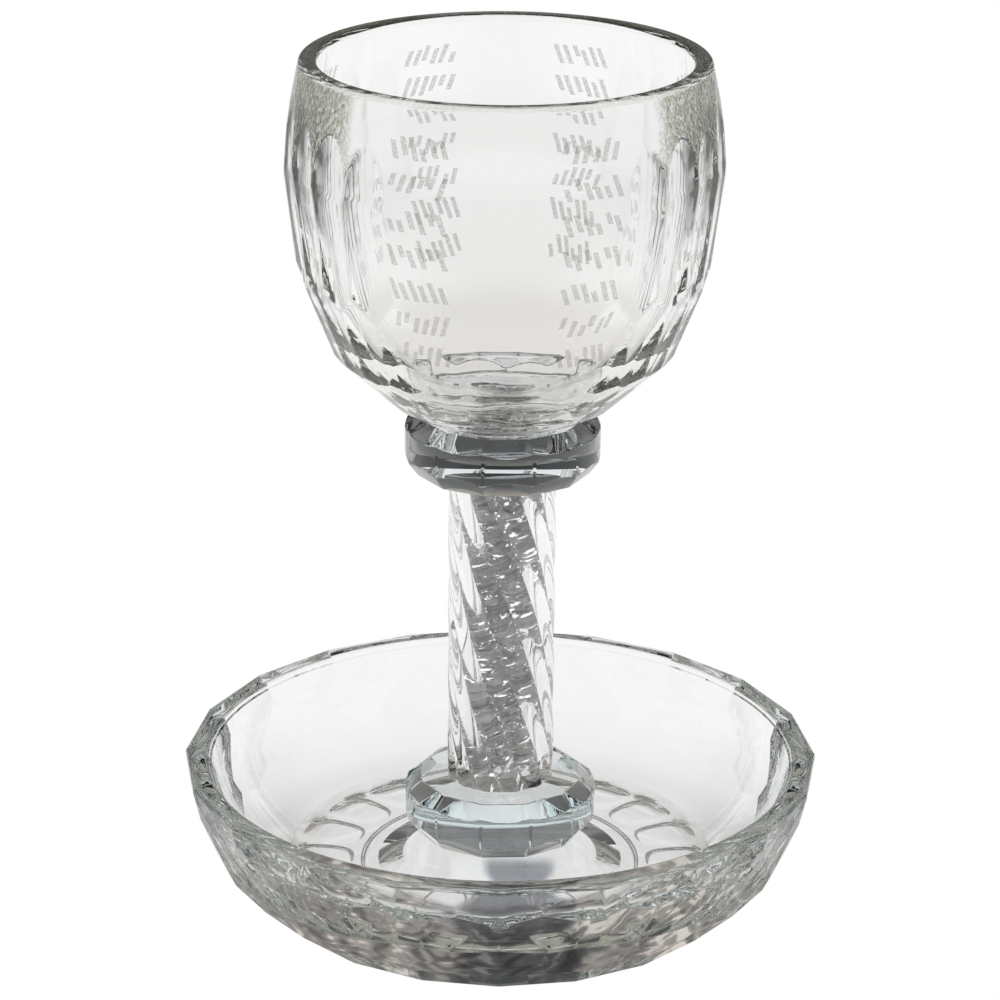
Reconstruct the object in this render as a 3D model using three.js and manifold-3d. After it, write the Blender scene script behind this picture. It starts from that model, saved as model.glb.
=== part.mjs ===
// Kiddush cup of cut crystal standing in its saucer. Millimetres, +Z up, front of the cup towards -Y.
// The cup is four pieces glued end to end: foot disc, twisted stem, collar disc and bowl.
// It stands loose on the saucer's floor, a little behind the middle, and the origin is under the saucer's middle.
// Each piece starts as a plain turned or drawn blank, and rows of flats are then ground into it.

import * as THREE from 'three';
import { mergeVertices } from 'three/addons/utils/BufferGeometryUtils.js';
import Module from 'manifold-3d';

const wasm = await Module();
wasm.setup();

// Saucer: a heavy twenty-sided dish with three rows of flats outside and a smooth round hollow
const SAUCER_SIDES = 20;
const SAUCER_CORNER_RADIUS = 55;
const SAUCER_HEIGHT = 24.6;
const SAUCER_BASE_CORNER_RADIUS = 41;
const SAUCER_FLOOR_TOP = 5.7;
const SAUCER_FLOOR_RADIUS = 36.6;
const SAUCER_MOUTH_RADIUS = 50.4;
const SAUCER_WALL_BEND = [47.4, 14.1];
const SAUCER_RECESS = [[24.4, 0], [22.8, 0.6], [21.3, 0.6], [17, 2.7]];
const SAUCER_RIM_LEAN = 13;
const SAUCER_DIAMOND_LEAN = 23.5;
const SAUCER_DIAMOND_RADIUS = 53.6;
const SAUCER_DIAMOND_HEIGHT = 18.6;
const SAUCER_BASE_LEAN = 46.5;

// Foot and collar: the same round disc, with twelve flats ground around both edges
const DISC_RADIUS = 16.8;
const DISC_HEIGHT = 10;
const DISC_FLATS = 12;
const DISC_TOP_APOTHEM = 13.95;
const DISC_TOP_LEAN = -50;
const DISC_BOTTOM_APOTHEM = 14.55;
const DISC_BOTTOM_LEAN = 36;
const DISC_TURN = 18;

// Stem: a left-handed twisted column of twelve convex reeds that meet in sharp grooves
const STEM_HEIGHT = 57.3;
const STEM_RADIUS = 9.35;
const STEM_REEDS = 12;
const STEM_REED_DEPTH = 0.75;
const STEM_TWIST = 136;
const STEM_POINTS_PER_REED = 5;
const STEM_STEPS = 20;

// Bowl: heights are above the bowl's underside, and the outer points are those of the uncut blank
const BOWL_HEIGHT = 62;
const BOWL_OUTER_POINTS = [
  [12.8, 0], [20.75, 4.1], [29.6, 12.2], [34.7, 25.7], [37, 44.4], [34.2, BOWL_HEIGHT],
];
const BOWL_INNER_POINTS = [
  [10.6, 3.9], [19, 8.3], [26.2, 15.4], [31.15, 25.7], [33.5, 44.4], [31, BOWL_HEIGHT],
];
const BOWL_INNER_BOTTOM = 2.7;
const BOWL_FLATS = 28;
const BOWL_WIDEST_HEIGHT = 44.4;
const BOWL_WIDEST_APOTHEM = 36.7;
const BOWL_BELT_HEIGHT = 25.7;
const BOWL_BELT_APOTHEM = 34.35;
const BOWL_HIP_HEIGHT = 12;
const BOWL_HIP_APOTHEM = 28.95;
const BOWL_HEEL_HEIGHT = 3.9;
const BOWL_HEEL_APOTHEM = 20.15;
const BOWL_SHOULDER_LEAN = -4;

// The front and the back of the bowl are left smooth for the inscription, this far from the middle line
const WINDOW_HALF_ANGLE = 31;
const WINDOW_FOOT_HALF_ANGLE = 25;

// A shallower row of flats ends each window below
const WINDOW_HIP_APOTHEM = 29.15;
const WINDOW_HIP_LEAN = 26;

const ROUND_SEGMENTS = 56;
const PROFILE_STEPS = 14;
const GRINDING_BLOCK = 150;

const FRONT = -90;
const degrees = THREE.MathUtils.degToRad;

// Where the cup was put down: this far behind the saucer's middle
const CUP_SETBACK = 10.3;

// Stacking heights
const FOOT_BOTTOM = SAUCER_FLOOR_TOP;
const STEM_BOTTOM = FOOT_BOTTOM + DISC_HEIGHT;
const COLLAR_BOTTOM = STEM_BOTTOM + STEM_HEIGHT;
const BOWL_BOTTOM = COLLAR_BOTTOM + DISC_HEIGHT;

// Solids and meshes

function solidFrom(geometry) {
  geometry.deleteAttribute('normal');
  geometry.deleteAttribute('uv');
  const welded = mergeVertices(geometry, 1e-4);
  const vertProperties = new Float32Array(welded.attributes.position.array);
  const triVerts = new Uint32Array(welded.index.array);
  return new wasm.Manifold(new wasm.Mesh({ numProp: 3, vertProperties, triVerts }));
}

function meshFrom(name, solid, material) {
  const { vertProperties, triVerts } = solid.getMesh();
  const geometry = new THREE.BufferGeometry();
  geometry.setAttribute('position', new THREE.BufferAttribute(new Float32Array(vertProperties), 3));
  geometry.setIndex(new THREE.BufferAttribute(new Uint32Array(triVerts), 1));
  geometry.computeVertexNormals();
  const mesh = new THREE.Mesh(geometry, material);
  mesh.name = name;
  return mesh;
}

function crystal(color) {
  const clear = { roughness: 0.03, metalness: 0, transparent: true, opacity: 0.35 };
  return new THREE.MeshStandardMaterial({ color, ...clear });
}

// A turned solid: the profile is a list of [radius, height] from the bottom of the axis to its top
function turned(profile, segments) {
  const points = profile.map(([radius, height]) => new THREE.Vector2(radius, height));
  return solidFrom(new THREE.LatheGeometry(points, segments).rotateX(Math.PI / 2));
}

function smoothProfile(points, steps) {
  const curve = new THREE.SplineCurve(points.map(([radius, height]) => new THREE.Vector2(radius, height)));
  return curve.getPoints(steps).map(({ x, y }) => [x, y]);
}

// A block whose inner face is one ground flat: it passes through radius at height, on the side at azimuth.
// A positive lean opens the flat upwards, away from the axis.
function grindingBlock(radius, height, lean, azimuth) {
  const block = new THREE.BoxGeometry(GRINDING_BLOCK, GRINDING_BLOCK, GRINDING_BLOCK);
  block.translate(GRINDING_BLOCK / 2, 0, 0);
  block.rotateY(degrees(lean));
  block.translate(radius, 0, height);
  block.rotateZ(degrees(azimuth));
  return solidFrom(block);
}

// A row of flats, the first at azimuth start; keep says which of them are ground
function grindRow(body, { count, start, radius, height, lean }, keep = () => true) {
  const azimuths = Array.from({ length: count }, (_, index) => start + (index * 360) / count);
  return azimuths
    .filter(keep)
    .reduce((rest, azimuth) => rest.subtract(grindingBlock(radius, height, lean, azimuth)), body);
}

// The lean of a flat that joins two [radius, height] points
function leanBetween([lowRadius, lowHeight], [highRadius, highHeight]) {
  return THREE.MathUtils.radToDeg(Math.atan2(highRadius - lowRadius, highHeight - lowHeight));
}

// The saucer

function makeSaucer() {
  const step = 360 / SAUCER_SIDES;
  const apothem = (cornerRadius) => cornerRadius * Math.cos(degrees(step / 2));
  const blankRadius = SAUCER_CORNER_RADIUS + 2;
  const blank = turned(
    [[0, 0], [blankRadius, 0], [blankRadius, SAUCER_HEIGHT], [0, SAUCER_HEIGHT]],
    SAUCER_SIDES * 2,
  );

  const sideRow = { count: SAUCER_SIDES, start: FRONT + step / 2 };
  const cornerRow = { count: SAUCER_SIDES, start: FRONT };
  const rimRow = {
    ...sideRow, radius: apothem(SAUCER_CORNER_RADIUS), height: SAUCER_HEIGHT, lean: SAUCER_RIM_LEAN,
  };
  const diamondRow = {
    ...cornerRow, radius: SAUCER_DIAMOND_RADIUS, height: SAUCER_DIAMOND_HEIGHT, lean: SAUCER_DIAMOND_LEAN,
  };
  const baseRow = { ...sideRow, radius: apothem(SAUCER_BASE_CORNER_RADIUS), height: 0, lean: SAUCER_BASE_LEAN };
  const cut = [rimRow, diamondRow, baseRow].reduce((body, row) => grindRow(body, row), blank);

  // The hollow's wall curves from the floor's edge up to the mouth
  const wallSteps = 8;
  const wallCurve = new THREE.QuadraticBezierCurve(
    new THREE.Vector2(SAUCER_FLOOR_RADIUS, SAUCER_FLOOR_TOP),
    new THREE.Vector2(...SAUCER_WALL_BEND),
    new THREE.Vector2(SAUCER_MOUTH_RADIUS, SAUCER_HEIGHT),
  );
  const wall = wallCurve.getPoints(wallSteps).map(({ x, y }) => [x, y]);
  const above = SAUCER_HEIGHT + 5;
  const hollow = turned([[0, SAUCER_FLOOR_TOP], ...wall, [SAUCER_MOUTH_RADIUS, above], [0, above]], 60);

  // The recess in the underside goes up in two steps and leaves a broad ring to stand on
  const below = -5;
  const [recessMouthRadius] = SAUCER_RECESS[0];
  const [, recessDepth] = SAUCER_RECESS.at(-1);
  const recess = turned([[0, below], [recessMouthRadius, below], ...SAUCER_RECESS, [0, recessDepth]], 40);
  return meshFrom('saucer', cut.subtract(hollow).subtract(recess), crystal(0xd9dedb));
}

// The foot and the collar

function makeDisc(name) {
  const outline = [[0, 0], [DISC_RADIUS, 0], [DISC_RADIUS, DISC_HEIGHT], [0, DISC_HEIGHT]];
  const blank = turned(outline, DISC_FLATS * 5);
  const row = { count: DISC_FLATS, start: FRONT + DISC_TURN + 180 / DISC_FLATS };
  const bottomRow = { ...row, radius: DISC_BOTTOM_APOTHEM, height: 0, lean: DISC_BOTTOM_LEAN };
  const topRow = { ...row, radius: DISC_TOP_APOTHEM, height: DISC_HEIGHT, lean: DISC_TOP_LEAN };
  return meshFrom(name, grindRow(grindRow(blank, bottomRow), topRow), crystal(0xcfd6d3));
}

// The stem

function makeStem() {
  const pointCount = STEM_REEDS * STEM_POINTS_PER_REED;
  const section = new THREE.Shape(
    Array.from({ length: pointCount }, (_, index) => {
      const angle = (index / pointCount) * Math.PI * 2;
      const across = Math.abs(Math.sin((STEM_REEDS / 2) * angle));
      const radius = STEM_RADIUS - STEM_REED_DEPTH * (1 - across);
      return new THREE.Vector2(radius * Math.cos(angle), radius * Math.sin(angle));
    }),
  );
  const drawn = { depth: STEM_HEIGHT, steps: STEM_STEPS, bevelEnabled: false };
  const column = new THREE.ExtrudeGeometry(section, drawn);

  // Twisting: each level turns clockwise, seen from above, in proportion to its height
  const positions = column.attributes.position;
  const point = new THREE.Vector3();
  const up = new THREE.Vector3(0, 0, 1);
  for (let index = 0; index < positions.count; index += 1) {
    point.fromBufferAttribute(positions, index);
    point.applyAxisAngle(up, -degrees(STEM_TWIST) * (point.z / STEM_HEIGHT));
    positions.setXYZ(index, point.x, point.y, point.z);
  }
  return meshFrom('stem', solidFrom(column), crystal(0xa9abac));
}

// The bowl

// How far an azimuth is from the middle of the nearer window, front or back
function fromWindowMiddle(azimuth) {
  return Math.abs(THREE.MathUtils.euclideanModulo(azimuth - FRONT + 90, 180) - 90);
}

function makeBowl() {
  const outer = smoothProfile(BOWL_OUTER_POINTS, PROFILE_STEPS);
  const blank = turned([[0, 0], ...outer, [0, BOWL_HEIGHT]], ROUND_SEGMENTS);

  const widest = [BOWL_WIDEST_APOTHEM, BOWL_WIDEST_HEIGHT];
  const belt = [BOWL_BELT_APOTHEM, BOWL_BELT_HEIGHT];
  const hip = [BOWL_HIP_APOTHEM, BOWL_HIP_HEIGHT];
  const windowHip = [WINDOW_HIP_APOTHEM, BOWL_HIP_HEIGHT];
  const heel = [BOWL_HEEL_APOTHEM, BOWL_HEEL_HEIGHT];
  const flatThrough = ([radius, height], lean) => ({ count: BOWL_FLATS, start: FRONT, radius, height, lean });
  const staggered = (row) => ({ ...row, start: row.start + 180 / BOWL_FLATS });

  const besideWindows = (azimuth) => fromWindowMiddle(azimuth) > WINDOW_HALF_ANGLE;
  const besideWindowFeet = (azimuth) => fromWindowMiddle(azimuth) > WINDOW_FOOT_HALF_ANGLE;
  const belowWindows = (azimuth) => !besideWindowFeet(azimuth);
  let body = grindRow(blank, flatThrough(widest, BOWL_SHOULDER_LEAN), besideWindows);
  body = grindRow(body, flatThrough(belt, leanBetween(belt, widest)), besideWindows);
  body = grindRow(body, staggered(flatThrough(hip, leanBetween(hip, belt))), besideWindowFeet);
  body = grindRow(body, staggered(flatThrough(windowHip, WINDOW_HIP_LEAN)), belowWindows);
  body = grindRow(body, flatThrough(heel, leanBetween(heel, hip)));

  const inner = smoothProfile(BOWL_INNER_POINTS, PROFILE_STEPS - 2);
  const above = BOWL_HEIGHT + 5;
  const [mouthRadius] = BOWL_INNER_POINTS.at(-1);
  const hollow = turned(
    [[0, BOWL_INNER_BOTTOM], ...inner, [mouthRadius, above], [0, above]],
    ROUND_SEGMENTS,
  );
  return meshFrom('bowl', body.subtract(hollow), crystal(0xe4e6e4));
}

// Assembly

const foot = makeDisc('foot');
foot.position.z = FOOT_BOTTOM;
const stem = makeStem();
stem.position.z = STEM_BOTTOM;
const collar = makeDisc('collar');
collar.position.z = COLLAR_BOTTOM;
const bowl = makeBowl();
bowl.position.z = BOWL_BOTTOM;

const cup = new THREE.Group();
cup.add(foot, stem, collar, bowl);
cup.position.y = CUP_SETBACK;
const cupAndSaucer = new THREE.Group();
cupAndSaucer.add(makeSaucer(), cup);

export default cupAndSaucer;
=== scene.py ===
# %% [markdown]
# # A cut-crystal kiddush cup in its saucer
# The real set is clear crystal all through. A heavy twenty-sided saucer holds a cup of four glued pieces:
# a foot disc, a twisted stem, a collar disc and the bowl. The imported part already has each piece at its
# true size, so this lesson only dresses it: every piece is made again with a finer surface, exactly where
# its solid stands. The frame is loaded first, and each solid is hidden once a piece has been made in its
# place.

# %% Load the frame
import math
import random

import bmesh
import bpy
import numpy as np
from mathutils import Matrix, Vector


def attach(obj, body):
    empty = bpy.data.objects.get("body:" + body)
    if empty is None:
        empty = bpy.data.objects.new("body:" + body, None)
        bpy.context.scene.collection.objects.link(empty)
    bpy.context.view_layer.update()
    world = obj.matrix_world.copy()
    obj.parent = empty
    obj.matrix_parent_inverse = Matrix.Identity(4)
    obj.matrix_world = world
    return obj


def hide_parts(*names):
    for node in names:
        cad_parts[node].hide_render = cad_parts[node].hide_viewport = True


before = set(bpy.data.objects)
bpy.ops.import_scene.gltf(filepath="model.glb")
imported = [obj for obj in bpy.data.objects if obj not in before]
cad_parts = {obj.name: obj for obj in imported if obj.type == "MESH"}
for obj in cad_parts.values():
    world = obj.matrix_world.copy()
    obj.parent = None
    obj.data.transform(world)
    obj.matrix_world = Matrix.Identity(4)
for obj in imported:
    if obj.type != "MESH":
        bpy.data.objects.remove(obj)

MM = 0.001
FRONT = -90.0
BODY = "root"

scene = bpy.context.scene
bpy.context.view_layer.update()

# %% [markdown]
# ## The camera
# A long lens looks down on the cup by about twenty degrees. The eye, the lens and the small roll of the
# picture were found by fitting the saucer's corners and the bowl's rim. A fitted camera is better than
# one aimed by eye, because every later difference between render and photograph is then a difference of
# the object.

# %% Camera
CAMERA_EYE = Vector((-0.0004, -0.5745, 0.2863))
CAMERA_PITCH = 20.56
CAMERA_ROLL = 0.44
CAMERA_LENS = 130.4
CAMERA_SENSOR = 36.0
CAMERA_CLIP_START = 0.01


def make_camera():
    data = bpy.data.cameras.new("photo_view")
    data.lens = CAMERA_LENS
    data.sensor_width = CAMERA_SENSOR
    data.clip_start = CAMERA_CLIP_START
    camera = bpy.data.objects.new("photo_view", data)
    scene.collection.objects.link(camera)
    pitch = Matrix.Rotation(math.radians(90 - CAMERA_PITCH), 4, "X")
    roll = Matrix.Rotation(math.radians(CAMERA_ROLL), 4, "Z")
    camera.matrix_world = Matrix.Translation(CAMERA_EYE) @ pitch @ roll
    return camera


scene.camera = make_camera()
print("camera", round(CAMERA_EYE.length, 3), "m from the origin, lens", CAMERA_LENS, "mm")

# %% [markdown]
# ## Light that changes from place to place
# Glass has no colour of its own to show: it shows the room, bent and folded. Crystal is photographed on a
# white table with a bright background and darker sides, so that its body fills with white and its edges
# draw themselves. Every light here is a glowing surface, and how bright it is at each place comes from a
# few ramps that are multiplied.

# %% Ramps
WHITE = (1, 1, 1, 1)


def add_ramp(tree, value, stops):
    """Colour along a value: each stop is (value, colour), in rising order."""
    first, last = stops[0][0], stops[-1][0]
    spread = tree.nodes.new("ShaderNodeMapRange")
    spread.inputs["From Min"].default_value = first
    spread.inputs["From Max"].default_value = last
    tree.links.new(value, spread.inputs["Value"])
    ramp = tree.nodes.new("ShaderNodeValToRGB")
    ramp.color_ramp.interpolation = "EASE"
    elements = ramp.color_ramp.elements
    elements[0].color = (*stops[0][1], 1)
    elements[-1].color = (*stops[-1][1], 1)
    for level, colour in stops[1:-1]:
        elements.new((level - first) / (last - first)).color = (*colour, 1)
    tree.links.new(spread.outputs["Result"], ramp.inputs["Fac"])
    return ramp.outputs["Color"]


def multiplied(tree, first, second):
    product = tree.nodes.new("ShaderNodeVectorMath")
    product.operation = "MULTIPLY"
    tree.links.new(first, product.inputs[0])
    tree.links.new(second, product.inputs[1])
    return product.outputs["Vector"]


def distance_from(tree, value, middle):
    away = tree.nodes.new("ShaderNodeMath")
    away.operation = "SUBTRACT"
    tree.links.new(value, away.inputs[0])
    away.inputs[1].default_value = middle
    size = tree.nodes.new("ShaderNodeMath")
    size.operation = "ABSOLUTE"
    tree.links.new(away.outputs["Value"], size.inputs[0])
    return size.outputs["Value"]


def where(tree, mask, colour):
    """The colour where the mask is one, and white where it is nought."""
    mix = tree.nodes.new("ShaderNodeMixRGB")
    mix.inputs["Color1"].default_value = WHITE
    tree.links.new(mask, mix.inputs["Fac"])
    tree.links.new(colour, mix.inputs["Color2"])
    return mix.outputs["Color"]


def grey(level):
    return (level, level, level)

# %% [markdown]
# ## The floor
# The floor that the camera sees is plain and pale. It is one large disc that glows evenly, so no shadow
# and no edge of it can draw the eye away from the glass. Only the camera sees it: the glass looks at a
# table of its own, which the next step makes.

# %% Pale floor
FLOOR_RADIUS = 2.5
FLOOR_SEGMENTS = 96
FLOOR_DROP = 0.4


def make_glowing_disc(name, drop):
    bm = bmesh.new()
    bmesh.ops.create_circle(bm, cap_ends=True, segments=FLOOR_SEGMENTS, radius=FLOOR_RADIUS)
    mesh = bpy.data.meshes.new(name)
    bm.to_mesh(mesh)
    bm.free()
    disc = bpy.data.objects.new(name, mesh)
    disc.location.z = -drop * MM
    scene.collection.objects.link(disc)
    material = bpy.data.materials.new(name)
    material.use_nodes = True
    tree = material.node_tree
    tree.nodes.remove(tree.nodes["Principled BSDF"])
    glow = tree.nodes.new("ShaderNodeEmission")
    glow.inputs["Color"].default_value = WHITE
    tree.links.new(glow.outputs["Emission"], tree.nodes["Material Output"].inputs["Surface"])
    mesh.materials.append(material)
    return disc, tree, glow


def make_seen_floor():
    floor, _, _ = make_glowing_disc("pale_floor", FLOOR_DROP)
    floor.visible_diffuse = False
    floor.visible_glossy = False
    floor.visible_transmission = False
    floor.visible_shadow = False
    return floor


make_seen_floor()
print("the pale floor is", 2 * FLOOR_RADIUS, "m across")

# %% [markdown]
# ## The table that the glass sees
# A lit sweep of white paper is bright behind the cup and falls off towards the front and the sides.
# Crystal on such paper also gathers and spreads the light below itself: a soft ring of shade lies around
# the saucer, a rippled band of it in front, and one dark streak before the stem. Tracing these would take
# a renderer very long, so they are painted on the table with ramps and one noise. The camera does not see
# this table, so the shades show only where the glass bends them into view. Its places are in metres.

# %% Lit table
TABLE_DROP = 0.2
TABLE_DEPTH_STOPS = [
    (-0.6, grey(0.05)),
    (-0.22, grey(0.05)),
    (-0.15, grey(0.50)),
    (-0.10, grey(0.82)),
    (0.0, grey(0.86)),
    (0.06, grey(0.98)),
]
TABLE_WIDTH_STOPS = [(0.18, grey(1.0)), (0.36, grey(0.50)), (1.0, grey(0.30))]
TABLE_REACH_STOPS = [(0.9, grey(1.0)), (1.2, grey(0.45))]
SHADE_REACH_STOPS = [(0.030, grey(0.0)), (0.037, grey(1.0)), (0.056, grey(1.0)), (0.072, grey(0.0))]
CONTACT_STOPS = [(0.036, grey(1.0)), (0.046, grey(0.89)), (0.056, grey(0.96)), (0.070, grey(1.0))]
SHADE_FRONT_STOPS = [(-0.030, grey(1.0)), (0.030, grey(0.0))]
RIPPLE_SCALE = 140
RIPPLE_CURL = 1.3
RIPPLE_DETAIL = 1.0
RIPPLE_STOPS = [
    (0.34, (0.14, 0.135, 0.135)),
    (0.46, (0.27, 0.25, 0.235)),
    (0.57, (0.37, 0.34, 0.315)),
    (0.68, (0.88, 0.81, 0.74)),
]
STEM_SHADE_MIDDLE = 0.0034
STEM_SHADE_HALF_WIDTH_STOPS = [
    (-0.055, grey(0.015)),
    (-0.034, grey(0.011)),
    (-0.020, grey(0.0034)),
    (-0.012, grey(0.0034)),
    (0.0, grey(0.0062)),
]
STEM_SHADE_EDGE_STOPS = [(0.75, (0.26, 0.27, 0.30)), (1.15, grey(1.0))]
STEM_SHADE_FRONT_STOPS = [(-0.060, grey(0.0)), (-0.050, grey(1.0)), (0.000, grey(1.0)), (0.006, grey(0.0))]


def make_lit_table():
    table, tree, glow = make_glowing_disc("lit_table", TABLE_DROP)
    place = tree.nodes.new("ShaderNodeNewGeometry").outputs["Position"]
    split = tree.nodes.new("ShaderNodeSeparateXYZ")
    tree.links.new(place, split.inputs["Vector"])
    reach = tree.nodes.new("ShaderNodeVectorMath")
    reach.operation = "LENGTH"
    tree.links.new(place, reach.inputs[0])
    depth = add_ramp(tree, split.outputs["Y"], TABLE_DEPTH_STOPS)
    width = add_ramp(tree, distance_from(tree, split.outputs["X"], 0), TABLE_WIDTH_STOPS)
    far = add_ramp(tree, reach.outputs["Value"], TABLE_REACH_STOPS)
    contact = add_ramp(tree, reach.outputs["Value"], CONTACT_STOPS)
    light = multiplied(tree, multiplied(tree, depth, width), multiplied(tree, far, contact))

    in_front = add_ramp(tree, split.outputs["Y"], SHADE_FRONT_STOPS)
    ring = multiplied(tree, in_front, add_ramp(tree, reach.outputs["Value"], SHADE_REACH_STOPS))
    ripple = tree.nodes.new("ShaderNodeTexNoise")
    ripple.inputs["Scale"].default_value = RIPPLE_SCALE
    ripple.inputs["Detail"].default_value = RIPPLE_DETAIL
    ripple.inputs["Distortion"].default_value = RIPPLE_CURL
    tree.links.new(place, ripple.inputs["Vector"])
    shade = where(tree, ring, add_ramp(tree, ripple.outputs["Fac"], RIPPLE_STOPS))
    before_stem = add_ramp(tree, split.outputs["Y"], STEM_SHADE_FRONT_STOPS)
    beside_stem = tree.nodes.new("ShaderNodeMath")
    beside_stem.operation = "DIVIDE"
    tree.links.new(distance_from(tree, split.outputs["X"], STEM_SHADE_MIDDLE), beside_stem.inputs[0])
    tree.links.new(add_ramp(tree, split.outputs["Y"], STEM_SHADE_HALF_WIDTH_STOPS), beside_stem.inputs[1])
    stem_edge = add_ramp(tree, beside_stem.outputs["Value"], STEM_SHADE_EDGE_STOPS)
    stem_shade = where(tree, before_stem, stem_edge)
    light = multiplied(tree, light, multiplied(tree, shade, stem_shade))
    tree.links.new(light, glow.inputs["Color"])
    table.visible_camera = False
    return table


make_lit_table()
print("the lit table lies", round(FLOOR_DROP - TABLE_DROP, 1), "mm above the floor")

# %% [markdown]
# ## The room
# What the table does not fill, the glass takes from the room. In front the room is evenly dim. Behind the
# cup it is a stack of dark and bright bands, as the edge of the paper, a wall and a lit ceiling make
# them, and the bands give each ground flat a tone of its own. The room is a world shader because that is
# infinitely far away, so all flats with the same tilt catch the same band.

# %% Room
ROOM_FRONT_STOPS = [(0.0, grey(0.55)), (0.5, (0.50, 0.46, 0.41)), (1.0, (0.24, 0.23, 0.21))]
ROOM_BACK_STOPS = [
    (0.0, grey(0.10)),
    (0.12, grey(0.12)),
    (0.20, grey(0.25)),
    (0.26, grey(0.20)),
    (0.31, grey(0.09)),
    (0.41, grey(0.09)),
    (0.56, (0.46, 0.41, 0.36)),
    (0.80, (0.44, 0.39, 0.34)),
    (0.88, grey(0.12)),
    (1.0, (0.22, 0.21, 0.20)),
]
ROOM_DEPTH_STOPS = [(-0.2, grey(0.0)), (0.95, grey(1.0))]
GLASS_BOUNCES = 20
MIRROR_BOUNCES = 12
MATT_BOUNCES = 3
BRIGHTEST_BOUNCE = 8


def make_room():
    room = bpy.data.worlds.new("studio_room")
    room.use_nodes = True
    tree = room.node_tree
    split = tree.nodes.new("ShaderNodeSeparateXYZ")
    tree.links.new(tree.nodes.new("ShaderNodeTexCoord").outputs["Generated"], split.inputs["Vector"])
    mix = tree.nodes.new("ShaderNodeMixRGB")
    tree.links.new(add_ramp(tree, split.outputs["Y"], ROOM_DEPTH_STOPS), mix.inputs["Fac"])
    tree.links.new(add_ramp(tree, split.outputs["Z"], ROOM_FRONT_STOPS), mix.inputs["Color1"])
    tree.links.new(add_ramp(tree, split.outputs["Z"], ROOM_BACK_STOPS), mix.inputs["Color2"])
    tree.links.new(mix.outputs["Color"], tree.nodes["Background"].inputs["Color"])
    return room


scene.world = make_room()
scene.view_settings.view_transform = "Standard"
scene.cycles.max_bounces = GLASS_BOUNCES
scene.cycles.transmission_bounces = GLASS_BOUNCES
scene.cycles.glossy_bounces = MIRROR_BOUNCES
scene.cycles.diffuse_bounces = MATT_BOUNCES
scene.cycles.sample_clamp_indirect = BRIGHTEST_BOUNCE
scene.cycles.use_denoising = True
print("room:", scene.world.name, "with up to", scene.cycles.max_bounces, "bends of light")

# %% [markdown]
# ## The crystal
# Polished crystal is never a perfect plane: hand polishing leaves faint waves and thin smears. Where a
# piece was left as it came from the wheel, a fine grain glitters instead. All three change over the
# surface, so they are made once, as a shader node group, and every crystal material takes them with its
# own values. Bend of light, clearness and tint are the same all over, so they are plain values on the
# shader.

# %% Polish group
GRAIN_SCALE = 1300.0
GRAIN_RISE = 4.0
GRAIN_ROUGHNESS = 0.15
GRAIN_COLOUR_STOPS = [(0.30, (0.33, 0.345, 0.26)), (0.56, (0.53, 0.55, 0.43)), (0.62, (0.99, 0.99, 0.95))]
CLEAR_COLOUR = (0.99, 0.99, 0.99, 1)
WAVE_DETAIL = 1.0
GRAIN_DETAIL = 2.0
SMEAR_DETAIL = 3.0
SMEAR_START = 0.5
SMEAR_FULL = 0.8
POLISH_INPUTS = {
    "Wave Scale": 90.0,
    "Smear Scale": 45.0,
    "Clean": 0.0,
    "Smeared": 0.03,
    "Ground": 0.0,
}


def mixed(nodes, links, share, first, second):
    mix = nodes.new("ShaderNodeMix")
    links.new(share, mix.inputs["Factor"])
    links.new(first, mix.inputs["A"])
    links.new(second, mix.inputs["B"])
    return mix.outputs["Result"]


def noise(nodes, links, place, detail):
    texture = nodes.new("ShaderNodeTexNoise")
    texture.inputs["Detail"].default_value = detail
    links.new(place, texture.inputs["Vector"])
    return texture


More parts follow.
